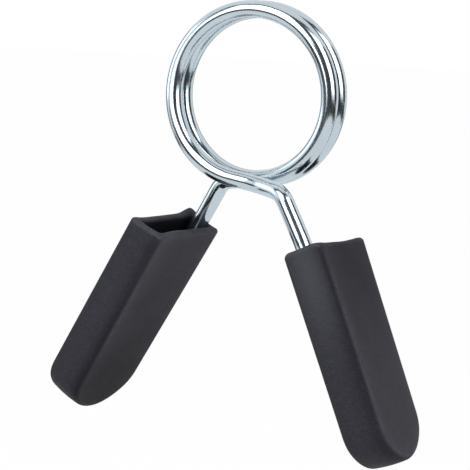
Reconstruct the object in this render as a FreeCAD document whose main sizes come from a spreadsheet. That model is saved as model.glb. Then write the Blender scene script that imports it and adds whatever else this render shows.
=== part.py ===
import FreeCAD, Part
import math
import os

import Sketcher

# A spring collar for a barbell's sleeve, in millimetres.
# The sleeve's axis is Y, the origin is the centre of the coil, Z is up and the grips hang below.
# The right leg leaves the front turn, at low Y, and ends on the +X side.
# The left leg and grip are built in the same way and turned half a turn about Z.

Vector = FreeCAD.Vector
Rotation = FreeCAD.Rotation
Placement = FreeCAD.Placement

ORIGIN = Vector(0, 0, 0)
AXIS_X = Vector(1, 0, 0)
AXIS_Y = Vector(0, 1, 0)
AXIS_Z = Vector(0, 0, 1)
FULL_TURN = 360.0
HALF_TURN = 180.0

SIZES = {
    # the coil of round wire
    "coil_bore": 49.0,
    "wire_diameter": 5.6,
    "turn_gap": 0.8,
    "turn_shortfall": 15.8,
    # each leg: the bend that splays it from the coil, the run that crosses the other leg, and the knee,
    # which is set in from the hairpin's side of the grip, so that the leg slants out to it
    "splay_bend_radius": 24.0,
    "crossing_run": 6.6,
    "knee_bend_radius": 8.0,
    "knee_inset": 2.4,
    "leg_tilt": 32.3,
    "leg_length": 17.5,
    "mouth_bend_radius": 16.0,
    # the grips, which narrow from the mouth to the foot: the side wall also closes the foot
    "grip_length": 72.8,
    "grip_mouth_width": 38.6,
    "grip_foot_width": 35.8,
    "grip_thickness": 14.0,
    "grip_side_wall": 2.6,
    "grip_face_wall": 3.1,
    "grip_corner_radius": 10.5,
    "grip_crown_rise": 3.0,
    "grip_edge_radius": 2.0,
    "grip_rim_radius": 0.6,
    # the hairpin that each leg ends in, and how it fills its grip
    "slip_clearance": 0.15,
    "hairpin_end_room": 4.1,
    "hairpin_tip_depth": 16.0,
    # how each grip sits on its leg: tilted with the hairpin, turned about it, and slid down it
    "right_grip_tilt": 22.4,
    "right_grip_twist": 4.0,
    "right_grip_slide": 2.0,
    "left_grip_tilt": 30.0,
    "left_grip_twist": -1.1,
    "left_grip_slide": 0.3,
}

# The coil has two turns, less the shortfall that lets the legs cross below it.
COIL_TURNS = 2
# Spans of a quarter turn carry the helix, each as two tangent arcs.
SPANS_PER_TURN = 4
# Two lengths of one wire never come nearer than this.
LEAST_GAP = 0.4
# Points along a wire are this far apart when its gap to itself is measured.
MEASURE_STEP = 1.0
VOLUME_TOLERANCE_SHARE = 0.005
TINY = 1e-6


def make_sheet(document):
    """The driving dimensions, one row each: a word and its number."""
    sheet = document.addObject("Spreadsheet::Sheet", "Sizes")
    for row, (alias, value) in enumerate(SIZES.items(), start=1):
        sheet.set(f"A{row}", alias)
        sheet.set(f"B{row}", str(value))
        sheet.setAlias(f"B{row}", alias)
    document.recompute()
    return sheet


doc = FreeCAD.newDocument("BarbellCollar")
sizes = make_sheet(doc)


def size(alias):
    return float(sizes.get(alias))


wire_diameter = size("wire_diameter")
wire_radius = wire_diameter / 2
coil_radius = (size("coil_bore") + wire_diameter) / 2
coil_pitch = wire_diameter + size("turn_gap")
wound_angle = COIL_TURNS * FULL_TURN - size("turn_shortfall")

# Each side of a grip reaches down to where the foot's corners begin, and slants in by this share of its height.
grip_side = size("grip_length") - size("grip_corner_radius") - size("grip_crown_rise")
grip_slant = (size("grip_mouth_width") - size("grip_foot_width")) / 2 / grip_side
pocket_half_width = size("grip_mouth_width") / 2 - size("grip_side_wall")
pocket_half_thickness = size("grip_thickness") / 2 - size("grip_face_wall")
hairpin_half_span = pocket_half_width - wire_radius - size("slip_clearance")
hairpin_depth = size("grip_length") - size("grip_side_wall") - wire_radius - size("hairpin_end_room")
# The wire lies against the pocket's inner face, so the grip stands this far out from it.
grip_stand_off = pocket_half_thickness - wire_radius - size("slip_clearance")


# The wire

def helix_point(turned):
    """The coil's centre line after turning so many degrees from its middle, at the foot of the ring."""
    angle = math.radians(turned)
    height = -coil_radius * math.cos(angle)
    across = -coil_radius * math.sin(angle)
    return Vector(across, coil_pitch * turned / FULL_TURN, height)


def helix_direction(turned):
    angle = math.radians(turned)
    rise = coil_pitch / math.radians(FULL_TURN)
    along = Vector(-coil_radius * math.cos(angle), rise, coil_radius * math.sin(angle))
    return along.normalize()


def arc_from(start, direction, end):
    """The circular arc that leaves start along direction and reaches end."""
    chord = end - start
    half_turn_angle = direction.getAngle(chord)
    chord_direction = Vector(chord).normalize()
    bulge = direction - chord_direction * direction.dot(chord_direction)
    bulge.normalize()
    sagitta = chord.Length / 2 * math.tan(half_turn_angle / 2)
    middle = (start + end) / 2 + bulge * sagitta
    return Part.Arc(start, middle, end).toShape()


def biarc(start, start_direction, end, end_direction):
    """Two arcs that meet in one tangent and carry one point and direction into the next."""
    chord = end - start
    spread = 2 * (1 - start_direction.dot(end_direction))
    lean = chord.dot(start_direction + end_direction)
    reach = (math.sqrt(lean * lean + spread * chord.dot(chord)) - lean) / spread
    joint = (start + end + (start_direction - end_direction) * reach) / 2
    return [
        arc_from(start, start_direction, joint),
        arc_from(end, end_direction * -1, joint),
    ]


def coil_route():
    """The helix in spans of about a quarter turn, with a straight end of one wire diameter on each side."""
    spans = math.ceil(wound_angle * SPANS_PER_TURN / FULL_TURN)
    turned = [wound_angle * (step / spans - 1 / 2) for step in range(spans + 1)]
    points = [helix_point(angle) for angle in turned]
    directions = [helix_direction(angle) for angle in turned]
    start = points[0] - directions[0] * wire_diameter
    end = points[-1] + directions[-1] * wire_diameter
    edges = [Part.LineSegment(start, points[0]).toShape()]
    for index in range(spans):
        edges += biarc(points[index], directions[index], points[index + 1], directions[index + 1])
    edges.append(Part.LineSegment(points[-1], end).toShape())
    return edges


def rounded_route(points, radii):
    """Straight runs through the points, with each inner corner rounded to its radius."""
    edges = []
    run_start = points[0]
    for corner, before, after, radius in zip(points[1:], points, points[2:], radii):
        inward = (before - corner).normalize()
        outward = (after - corner).normalize()
        cut_back = radius / math.tan(inward.getAngle(outward) / 2)
        arc_start = corner + inward * cut_back
        arc_end = corner + outward * cut_back
        if (arc_start - run_start).Length > TINY:
            edges.append(Part.LineSegment(run_start, arc_start).toShape())
        edges.append(arc_from(arc_start, inward * -1, arc_end))
        run_start = arc_end
    edges.append(Part.LineSegment(run_start, points[-1]).toShape())
    return edges


def grip_turn(side):
    """How a grip is turned on the right: tilted outwards, then twisted about its own length."""
    tilted = Rotation(AXIS_Y, -size(side + "_grip_tilt"))
    twisted = Rotation(AXIS_Z, size(side + "_grip_twist"))
    return tilted * twisted


def leg_start():
    """Where the leg takes over from the coil's straight end, and the way that it heads there."""
    heading = helix_direction(-wound_angle / 2) * -1
    return helix_point(-wound_angle / 2) + heading * wire_diameter, heading


def splay_corners():
    """The corner of the splay bend, and the knee's, where the wire is the inset short of the hairpin's half span.

    The bend turns the wire forward by an angle about its own radius. With the coil's slope added, that angle
    makes run * sin(angle) - radius * cos(angle) equal to the way still to go less radius * cos(slope).
    """
    start, heading = leg_start()
    run = size("crossing_run")
    radius = size("splay_bend_radius")
    slope = math.asin(-heading.y)
    still_to_go = hairpin_half_span - size("knee_inset") + start.y
    sloped_turn = math.atan2(radius, run) + math.asin(
        (still_to_go - radius * math.cos(slope)) / math.hypot(run, radius)
    )
    turn = sloped_turn - slope
    forward = (AXIS_Y * -1 - heading * math.sin(slope)).normalize()
    splay_corner = start + heading * (radius * math.tan(turn / 2))
    knee_corner = (
        start
        + heading * (radius * math.sin(turn) + run * math.cos(turn))
        + forward * (radius * (1 - math.cos(turn)) + run * math.sin(turn))
    )
    return splay_corner, knee_corner


def mouth_corner():
    """Where the wire's centre line passes into the grip's mouth."""
    tilt = math.radians(size("leg_tilt"))
    down_leg = Vector(math.sin(tilt), 0, -math.cos(tilt)) * size("leg_length")
    return splay_corners()[1] + down_leg - AXIS_Y * size("knee_inset")


def half_span_at(depth):
    """Half the distance between the hairpin's two runs at a depth below the mouth: they follow the grip's sides."""
    return hairpin_half_span - grip_slant * depth


def leg_route(side):
    """The right-hand leg: it goes on from the coil, splays forward, turns down and ends in a hairpin.

    The hairpin's two bends meet in the middle of its foot, where each has turned by a right angle less the slant.
    """
    start, _ = leg_start()
    splay_corner, knee_corner = splay_corners()
    turn = grip_turn(side)
    down_grip = turn.multVec(AXIS_Z * -1)
    across_grip = turn.multVec(AXIS_Y)
    mouth = mouth_corner()
    middle = mouth + across_grip * hairpin_half_span
    foot = middle + down_grip * hairpin_depth
    foot_half_span = half_span_at(hairpin_depth)
    first_foot = foot - across_grip * foot_half_span
    second_foot = foot + across_grip * foot_half_span
    tip_depth = size("hairpin_tip_depth")
    tip = middle + down_grip * tip_depth + across_grip * half_span_at(tip_depth)
    hairpin_radius = foot_half_span * math.tan((math.pi / 2 + math.atan(grip_slant)) / 2)
    points = [
        start,
        splay_corner,
        knee_corner,
        mouth,
        first_foot,
        second_foot,
        tip,
    ]
    radii = [
        size("splay_bend_radius"),
        size("knee_bend_radius"),
        size("mouth_bend_radius"),
        hairpin_radius,
        hairpin_radius,
    ]
    return rounded_route(points, radii)


def least_gap(route):
    """The least gap between two lengths of one wire that aren't neighbours along it."""
    count = math.ceil(route.Length / MEASURE_STEP)
    points = route.discretize(Number=count + 1)
    apart = math.ceil(math.pi * wire_diameter * count / route.Length)
    nearest = min(
        points[first].distanceToPoint(points[second])
        for first in range(count + 1)
        for second in range(first + apart, count + 1)
    )
    return nearest - wire_diameter


def wire_solid(name, edges):
    """One unbroken round tube along a route, with its volume and its gap to itself tested."""
    route = Part.Wire(edges)
    start = route.OrderedVertexes[0].Point
    first = route.OrderedEdges[0]
    direction = first.tangentAt(first.FirstParameter)
    section = Part.Wire(Part.makeCircle(wire_radius, start, direction))
    tube = route.makePipeShell([section], True, False)
    expected = math.pi * wire_radius ** 2 * route.Length
    gap = least_gap(route)
    print(f"{name}: {route.Length:.1f} mm of wire, least gap to itself {gap:.2f} mm")
    if abs(tube.Volume - expected) > expected * VOLUME_TOLERANCE_SHARE:
        raise RuntimeError(f"{name}: volume {tube.Volume:.1f} where {expected:.1f} was expected")
    if gap < LEAST_GAP:
        raise RuntimeError(f"{name}: its turns come within {gap:.2f} mm")
    return tube


def add_wire(name, edges, placement):
    feature = doc.addObject("Part::Feature", name)
    feature.Label = name
    feature.Shape = wire_solid(name, edges)
    feature.Placement = placement
    return feature


# The grips

def origin_plane(body, role):
    return next(item for item in body.Origin.OriginFeatures if item.Role == role)


def tongue_sketch(body, name, inset):
    """A grip's outline seen on its wide face, drawn in by an inset: wide at the mouth, rounded at the foot.

    The foot is a flat arch: two corner arcs and a crown arc that touches both. Each side runs from the mouth to
    the point of its corner arc, at the angle touch, where it is the arc's tangent.
    """
    wall = inset * size("grip_side_wall")
    half_mouth = size("grip_mouth_width") / 2 - wall
    half_foot = size("grip_foot_width") / 2 - wall
    length = size("grip_length") - wall
    corner = size("grip_corner_radius") - wall
    rise = corner + size("grip_crown_rise")
    crown = (half_foot ** 2 + rise ** 2 - 2 * half_foot * corner) / (2 * size("grip_crown_rise"))
    lean = math.atan2(half_foot - corner, crown - rise)
    overhang = half_mouth - half_foot + corner
    touch = math.atan2(grip_side, overhang) - math.acos(corner / math.hypot(grip_side, overhang))
    touch_x = half_foot - corner + corner * math.cos(touch)
    touch_y = corner * math.sin(touch) - grip_side

    sketch = body.newObject("Sketcher::SketchObject", name)
    sketch.AttachmentSupport = (origin_plane(body, "YZ_Plane"), [""])
    sketch.MapMode = "FlatFace"

    down = -math.pi / 2
    right_corner = Part.Circle(Vector(half_foot - corner, -grip_side, 0), AXIS_Z, corner)
    crown_circle = Part.Circle(Vector(0, crown - length, 0), AXIS_Z, crown)
    left_corner = Part.Circle(Vector(corner - half_foot, -grip_side, 0), AXIS_Z, corner)
    geometry = [
        Part.LineSegment(Vector(-half_mouth, 0, 0), Vector(half_mouth, 0, 0)),
        Part.LineSegment(Vector(half_mouth, 0, 0), Vector(touch_x, touch_y, 0)),
        Part.ArcOfCircle(right_corner, down + lean, touch),
        Part.ArcOfCircle(crown_circle, down - lean, down + lean),
        Part.ArcOfCircle(left_corner, -math.pi - touch, down - lean),
        Part.LineSegment(Vector(-touch_x, touch_y, 0), Vector(-half_mouth, 0, 0)),
    ]
    mouth, right_side, right_arc, crown_arc, left_arc, left_side = sketch.addGeometry(geometry, False)
    start, end, centre = 1, 2, 3
    origin, vertical_axis = -1, -2
    constraint = Sketcher.Constraint
    sketch.addConstraint([
        constraint("Coincident", mouth, end, right_side, start),
        constraint("Coincident", mouth, start, left_side, end),
        constraint("Tangent", right_side, end, right_arc, end),
        constraint("Tangent", right_arc, start, crown_arc, end),
        constraint("Tangent", crown_arc, start, left_arc, end),
        constraint("Tangent", left_arc, start, left_side, start),
        constraint("Horizontal", mouth),
        constraint("Horizontal", right_arc, centre, left_arc, centre),
        constraint("Symmetric", mouth, start, mouth, end, origin, start),
        constraint("Equal", right_arc, left_arc),
        constraint("PointOnObject", crown_arc, centre, vertical_axis),
    ])
    drawn_in = f"{inset} * Sizes.grip_side_wall"
    half = f"(Sizes.grip_foot_width / 2 - {drawn_in})"
    round_corner = f"(Sizes.grip_corner_radius - {drawn_in})"
    up = f"({round_corner} + Sizes.grip_crown_rise)"
    driven = {
        "mouth": (
            constraint("DistanceX", mouth, start, mouth, end, 2 * half_mouth),
            f"Sizes.grip_mouth_width - 2 * {drawn_in}",
        ),
        "foot": (
            constraint("DistanceX", left_arc, centre, right_arc, centre, 2 * (half_foot - corner)),
            "Sizes.grip_foot_width - 2 * Sizes.grip_corner_radius",
        ),
        "side": (
            constraint("DistanceY", right_arc, centre, right_side, start, grip_side),
            "Sizes.grip_length - Sizes.grip_corner_radius - Sizes.grip_crown_rise",
        ),
        "corner": (constraint("Radius", right_arc, corner), round_corner),
        "crown": (
            constraint("Radius", crown_arc, crown),
            f"({half}^2 + {up}^2 - 2 * {half} * {round_corner}) / (2 * Sizes.grip_crown_rise)",
        ),
    }
    for label, (rule, formula) in driven.items():
        index = sketch.addConstraint(rule)
        sketch.renameConstraint(index, label)
        sketch.setExpression("Constraints." + label, formula)
    return sketch


def symmetric_feature(body, kind, name, sketch, thickness):
    """A pad or pocket that reaches equally far to both sides of its sketch."""
    feature = body.newObject(kind, name)
    feature.Profile = sketch
    feature.SideType = "Symmetric"
    feature.setExpression("Length", thickness)
    doc.recompute()
    return feature


def fillet_where(body, name, base, radius_alias, wanted):
    """Round every edge of the base feature that the test picks out."""
    edges = [f"Edge{number}" for number, edge in enumerate(base.Shape.Edges, start=1) if wanted(edge)]
    fillet = body.newObject("PartDesign::Fillet", name)
    fillet.Base = (base, edges)
    fillet.setExpression("Radius", "Sizes." + radius_alias)
    doc.recompute()
    return fillet


def on_mouth(edge):
    return edge.BoundBox.ZMin > -TINY


def on_wide_face(edge):
    half_thickness = size("grip_thickness") / 2
    flat = edge.BoundBox.XLength < TINY
    return flat and abs(abs(edge.BoundBox.Center.x) - half_thickness) < TINY


def make_grip(name, side, placement):
    """A flat sleeve, closed at the end, whose length hangs down Z from the middle of its mouth."""
    body = doc.addObject("PartDesign::Body", name)
    body.Label = name
    outline = tongue_sketch(body, name + "_outline", inset=0)
    block = symmetric_feature(body, "PartDesign::Pad", name + "_block", outline, "Sizes.grip_thickness")
    hollow = tongue_sketch(body, name + "_hollow", inset=1)
    pocket_formula = "Sizes.grip_thickness - 2 * Sizes.grip_face_wall"
    pocket = symmetric_feature(body, "PartDesign::Pocket", name + "_pocket", hollow, pocket_formula)
    if pocket.Shape.Volume > block.Shape.Volume - TINY:
        raise RuntimeError(f"{name}: the pocket cut nothing")
    edges = fillet_where(
        body, name + "_edges", pocket, "grip_edge_radius",
        lambda edge: on_wide_face(edge) and not on_mouth(edge),
    )
    fillet_where(body, name + "_rim", edges, "grip_rim_radius", on_mouth)
    turn = grip_turn(side)
    middle = (
        mouth_corner()
        - turn.multVec(AXIS_Z) * size(side + "_grip_slide")
        + turn.multVec(AXIS_Y) * hairpin_half_span
        + turn.multVec(AXIS_X) * grip_stand_off
    )
    body.Placement = placement * Placement(middle, turn)
    return body


# The collar

in_place = Placement()
half_turned = Placement(ORIGIN, Rotation(AXIS_Z, HALF_TURN))

pieces = [
    add_wire("coil_spring", coil_route(), in_place),
    add_wire("right_leg", leg_route("right"), in_place),
    add_wire("left_leg", leg_route("left"), half_turned),
    make_grip("right_grip", "right", in_place),
    make_grip("left_grip", "left", half_turned),
]
doc.recompute()

for item in doc.Objects:
    if "Invalid" in item.State or "Error" in item.State:
        raise RuntimeError(f"{item.Name} failed: {item.State}")
for piece in pieces:
    if piece.Shape.isNull() or not piece.Shape.isValid() or len(piece.Shape.Solids) != 1:
        raise RuntimeError(f"{piece.Label} is not one sound solid")

os.makedirs("parts", exist_ok=True)
for piece in pieces:
    piece.Shape.exportStep(f"parts/{piece.Label}.step")
    print(f"{piece.Label}: {piece.Shape.Volume:.0f} mm3")
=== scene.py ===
"""Looks of a spring collar for a barbell's sleeve.

The wire and the grips are surfaces worked out with numpy in the part's own frame: the sleeve's axis is Y, the
origin is the centre of the coil, Z is up and X points to the right grip. Every length is in metres.
"""

import math

import bmesh
import bpy
import numpy as np
from bpy.props import FloatProperty, FloatVectorProperty, IntProperty, PointerProperty
from mathutils import Matrix, Vector


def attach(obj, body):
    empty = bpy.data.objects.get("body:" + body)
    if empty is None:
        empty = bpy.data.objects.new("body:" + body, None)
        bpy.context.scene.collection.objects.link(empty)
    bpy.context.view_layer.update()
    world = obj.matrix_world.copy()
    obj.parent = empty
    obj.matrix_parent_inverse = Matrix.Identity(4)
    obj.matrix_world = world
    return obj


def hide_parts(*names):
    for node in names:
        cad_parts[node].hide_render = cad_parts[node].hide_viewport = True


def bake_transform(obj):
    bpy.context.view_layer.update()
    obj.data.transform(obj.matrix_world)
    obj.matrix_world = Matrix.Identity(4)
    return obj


bl_info = {
    "name": "Barbell Spring Collar",
    "version": (1, 0, 0),
    "blender": (4, 5, 0),
    "location": "View3D > Sidebar > Spring Collar",
    "description": "Builds the bent wire, the two grips and the studio of a barbell's spring collar",
    "category": "Object",
}

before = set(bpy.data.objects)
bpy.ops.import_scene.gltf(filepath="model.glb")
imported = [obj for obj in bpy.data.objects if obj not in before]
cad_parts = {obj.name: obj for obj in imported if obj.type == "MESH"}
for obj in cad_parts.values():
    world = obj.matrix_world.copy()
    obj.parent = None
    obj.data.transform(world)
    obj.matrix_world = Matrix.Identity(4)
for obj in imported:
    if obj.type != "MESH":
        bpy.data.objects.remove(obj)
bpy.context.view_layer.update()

AXIS_Y = np.array([0.0, 1.0, 0.0])
AXIS_Z = np.array([0.0, 0.0, 1.0])

# Both sides of the collar are worked out as the right one: the left one is then turned half round about Z
SIDES = {"right": np.array([1.0, 1.0, 1.0]), "left": np.array([-1.0, -1.0, 1.0])}

# How finely each shape is stepped
COIL_SAMPLES = 1200
ARC_SAMPLES = 400
SIDE_ROWS = 44
CORNER_ROWS = 14
CROWN_ROWS = 14
FACE_STEPS = 15
EDGE_STEPS = 9
WALL_STEPS = 15
LIP_STEPS = 15
CARD_COLUMNS = 25
CARD_ROWS = 13

# The power that crowds the rows of a grip's side towards its mouth
SIDE_CROWDING = 1.3

# Points of a line nearer together than this share of its step are one, and a tube's rows start this many
# chamfers from its end
SAME_PLACE_SHARE = 0.01
CHAMFER_MARGIN = 1.5

# Points of a mesh nearer together than this are one, and its edges are sharp from this angle
MERGE_DISTANCE = 1e-7
SHARP_ANGLE = math.radians(50)

# How far along the wire the knee's dent fades out, and the height over which a leg's across direction changes
# to the grip's
DENT_WIDTH = 0.0011
ACROSS_CHANGE = 0.008

# How a grip's edges are marked, from 1 where worn and painted pale as a highlight to -1 where painted shade
# darkens them, and how far each mark fades: on the wide face, which reaches so far from its middle, wear with
# a painted highlight; round the edge by its angle in degrees from the narrow side, painted shade next to the
# narrow side and wear with a painted highlight towards the wide face; and on the narrow side, near the edge
# and further on, painted shade
FACE_WEAR_AND_PAINTED_HIGHLIGHT = 0.5
FACE_HIGHLIGHT_FADE = 0.0028
FACE_REACH = 0.016
EDGE_ANGLES = [10, 30, 44, 57, 68, 90]
EDGE_WEAR_AND_PAINTED_LIGHT = [-0.72, -0.85, -0.70, 0.35, 1.0, 0.6]
NEAR_WALL_PAINTED_SHADE = -0.42
NEAR_WALL_FADE = 0.0017
WALL_PAINTED_SHADE = -0.3
WALL_FADE = 0.006

# The width over which a grip's face changes to the half with the band of painted shade, the depth at which
# its pocket is painted dark as shade, and the wear and painted highlight of its mouth
PAINTED_SHADE_CHANGE = 0.012
POCKET_PAINTED_SHADE_DEPTH = 0.003
MOUTH_WEAR_AND_PAINTED_HIGHLIGHT = 0.6
MOUTH_HIGHLIGHT_FADE = 0.0012

# The studio: the place that the softboxes and far cards stand round, how far off, the floor and the colours
STUDIO_MIDDLE = Vector((0, 0, -0.04))
SOFTBOX_DISTANCE = 1.3
CARD_DISTANCE = 0.56
FLOOR_HALF_WIDTH = 12.0
FLOOR_WHITENESS = 0.98
FLOOR_COLOUR = (0.95, 0.95, 0.95, 1.0)
CARD_COLOUR = (0.92, 0.96, 1.0, 1.0)
WHITE = (1.0, 1.0, 1.0, 1.0)

# The camera's sensor is in millimetres, as Blender keeps it
SENSOR_WIDTH = 36.0


def length(name, description, default):
    return FloatProperty(name=name, description=description, default=default, unit="LENGTH", precision=5)


def angle(name, description, degrees):
    return FloatProperty(name=name, description=description, default=math.radians(degrees), subtype="ANGLE")


def share(name, description, default):
    return FloatProperty(name=name, description=description, default=default, min=0.0, subtype="FACTOR")


def colour(name, description, default):
    return FloatVectorProperty(
        name=name, description=description, default=default, size=3, min=0.0, max=1.0, subtype="COLOR",
    )


# The values that a user would change

class CollarWire(bpy.types.PropertyGroup):
    diameter: length("Wire diameter", "Thickness of the round spring wire", 0.00559)
    coil_radius: length("Coil radius", "From the sleeve's axis to the middle of the wire", 0.0273)
    pitch: length("Coil pitch", "How far the coil moves along the sleeve in one turn", 0.0064)
    wound: angle("Wound angle", "How far the coil turns from one leg to the other", 704.2)
    still_half: angle("Still half", "How far from its middle the coil stays still in a squeeze", 241.6)
    splay_run: length("Splay run", "From the end of the helix to the corner that splays the leg", 0.01034)
    splay_radius: length("Splay radius", "Radius of the bend that splays the leg", 0.024)
    knee: FloatVectorProperty(
        name="Knee", description="Corner where the crossing run turns down", size=3, subtype="TRANSLATION",
        unit="LENGTH", default=(0.01671, -0.01135, -0.02988),
    )
    knee_radius: length("Knee radius", "Radius of the bend that turns the leg down", 0.008)
    mouth: FloatVectorProperty(
        name="Mouth", description="Corner where the wire passes into the grip", size=3, subtype="TRANSLATION",
        unit="LENGTH", default=(0.02607, -0.01375, -0.04466),
    )
    mouth_radius: length("Mouth radius", "Radius of the bend at the grip's mouth", 0.016)
    hairpin_half_span: length("Hairpin half span", "Half the distance between the runs in a grip", 0.01375)
    hairpin_slant: share("Hairpin slant", "How much each run draws in for its depth in the grip", 0.0236)
    hairpin_depth: length("Hairpin depth", "From the grip's mouth corner to the foot of the hairpin", 0.0633)
    hairpin_tip: length("Hairpin tip", "How deep in the grip the wire ends", 0.016)
    end_chamfer: length("End chamfer", "Bevel of the wire's cut ends", 0.0004)
    knee_dent: length("Knee dent", "How deep the bending tool pressed the inside of the knee", 0.00022)
    along: length("Step along", "Distance between two rings of the wire's surface", 0.0005)
    around: IntProperty(
        name="Points around", description="Points in each ring of the wire", default=56, min=8,
    )


class CollarGrips(bpy.types.PropertyGroup):
    right_tilt: angle("Right grip tilt", "How far the right grip leans outwards", 22.4)
    right_twist: angle("Right grip twist", "How far the right grip is turned about its length", 4.0)
    right_slide: length("Right grip slide", "How far the right grip sits down its wire", 0.002)
    left_tilt: angle("Left grip tilt", "How far the left grip leans outwards", 30.0)
    left_twist: angle("Left grip twist", "How far the left grip is turned about its length", -1.1)
    left_slide: length("Left grip slide", "How far the left grip sits down its wire", 0.0003)
    mouth_half_width: length("Mouth half width", "Half of the grip's wide face at the mouth", 0.0193)
    foot_half_width: length("Foot half width", "Half of the grip's wide face where its foot begins", 0.0179)
    half_thickness: length("Half thickness", "Half of the grip's narrow face", 0.007)
    length: length("Grip length", "From the mouth to the end", 0.0728)
    corner: length("Corner radius", "Radius of the two corners at the end", 0.0105)
    crown_rise: length("Crown rise", "How far the end arches beyond its corners", 0.003)
    side_wall: length("Side wall", "Thickness of the moulded wall at the narrow sides and the foot", 0.0026)
    face_wall: length("Face wall", "Thickness of the moulded wall at the wide faces", 0.0031)
    edge: length("Edge radius", "Rounding along the four long edges", 0.0021)
    side_bulge: length("Side bulge radius", "Radius across the grip of its narrow sides", 0.045)
    face_crown: length("Face crown", "How much the wide faces bulge", 0.00005)
    rim: length("Rim radius", "Rounding of the mouth's lip", 0.0012)
    stand_off: length("Stand off", "From the wire's plane out to the grip's middle plane", 0.00095)
    pocket_edge: length("Pocket edge", "Rounding of the pocket's four long corners", 0.0016)
    lip_reach: length("Lip reach", "How deep the mouth's uneven lip fades out", 0.006)


class CollarFinishes(bpy.types.PropertyGroup):
    plating: colour("Plating", "Colour of the bright plating", (0.55, 0.63, 0.68))
    plating_shade: colour("Plating shade", "Colour where the plating has dulled", (0.42, 0.49, 0.54))
    plating_gloss: share("Plating roughness", "Roughness of the clean plating", 0.10)
    rubber: colour("Grip colour", "Colour of the moulded grips", (0.0205, 0.0208, 0.0268))
    # Worn edges and rims, which also stand as painted highlights, and the pale patches of painted light
    rubber_worn_and_painted_light: colour("Worn grip colour", "Colour of the grips where hands rub", (0.056, 0.0565, 0.068))
    # Painted shade beside the edges, in the pocket and in the dark patches
    rubber_painted_shade: colour("Missed grip colour", "Colour where hands miss the grips", (0.008, 0.0082, 0.0112))
    rubber_speck: colour("Grip speckle", "Colour of the fine pale grain of the grips", (0.044, 0.044, 0.054))
    rubber_roughness: share("Grip roughness", "Roughness of the grips between their edges", 0.60)


class CollarStudio(bpy.types.PropertyGroup):
    yaw: angle("Camera azimuth", "How far round to the right the camera stands", 27.98)
    pitch: angle("Camera elevation", "How far above the collar the camera stands", 6.51)
    roll: angle("Camera roll", "How far the camera leans", 2.4)
    distance: length("Camera distance", "From the camera to the point that it looks at", 0.6056)
    aside: length("Camera aside", "How far the view moves to the camera's right", -0.00651)
    above: length("Camera above", "How far the view moves up", -0.04537)
    lens: FloatProperty(
        name="Lens", description="Focal length for a sensor 36 mm wide", default=143.89, unit="CAMERA",
    )
    ambient: share("Ambient", "Strength of the light from all round on dull surfaces", 0.5)
    softbox: share("Softbox brightness", "Brightness of each softbox", 2.6)
    floor_drop: length("Floor drop", "How far below the coil's centre the floor lies", 0.26)


# Shapes in numpy

def unit(vectors):
    """Each vector v of an array as v / |v|."""
    return vectors / np.linalg.norm(vectors, axis=-1, keepdims=True)


def turned_about(axis, turn):
    """Rotation by t about a unit axis a: I + K sin t + K K (1 - cos t), where K v is a x v."""
    x, y, z = axis
    cross = np.array([[0, -z, y], [z, 0, -x], [-y, x, 0]])
    return np.eye(3) + math.sin(turn) * cross + (1 - math.cos(turn)) * cross @ cross


def helix(wire, turned):
    """Centre line of the coil, t from the foot of the ring: (-R sin t, pitch * t / full turn, -R cos t)."""
    turned = np.asarray(turned, float)
    return np.stack([
        -wire.coil_radius * np.sin(turned),
        wire.pitch * turned / math.tau,
        -wire.coil_radius * np.cos(turned),
    ], axis=-1)


def rounded_line(corners, radii, step):
    """Straight runs through the corners, each corner replaced by the arc of its radius that touches them.

    A corner whose runs meet at the angle g is cut back by r / tan(g / 2), and its arc has its centre at
    r / sin(g / 2) along the bisector.
    """
    pieces, start = [], corners[0]
    for corner, before, after, radius in zip(corners[1:], corners, corners[2:], radii):
        inward, outward = unit(before - corner), unit(after - corner)
        between = math.acos(float(np.clip(inward @ outward, -1, 1)))
        cut_back = radius / math.tan(between / 2)
        arc_start, arc_end = corner + inward * cut_back, corner + outward * cut_back
        centre = corner + unit(inward + outward) * radius / math.sin(between / 2)
        sweep = math.pi - between
        run = np.linspace(0, 1, max(2, int(np.linalg.norm(arc_start - start) / step)))[:, None]
        pieces.append(start + (arc_start - start) * run)
        swept = np.linspace(0, sweep, max(4, int(radius * sweep / step)))[:, None]
        pieces.append(centre + (arc_start - centre) * np.cos(swept) - inward * radius * np.sin(swept))
        start = arc_end
    run = np.linspace(0, 1, max(2, int(np.linalg.norm(corners[-1] - start) / step)))[:, None]
    pieces.append(start + (corners[-1] - start) * run)
    line = np.concatenate(pieces)
    moved = np.linalg.norm(np.diff(line, axis=0), axis=1)
    return line[np.r_[True, moved > step * SAME_PLACE_SHARE]]


def evenly_spaced(line, step):
    """The same line with its points at equal distances along it, and those distances."""
    travelled = np.r_[0, np.cumsum(np.linalg.norm(np.diff(line, axis=0), axis=1))]
    wanted = np.linspace(0, travelled[-1], int(round(travelled[-1] / step)) + 1)
    return np.stack([np.interp(wanted, travelled, line[:, axis]) for axis in range(3)], axis=-1), wanted


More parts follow.
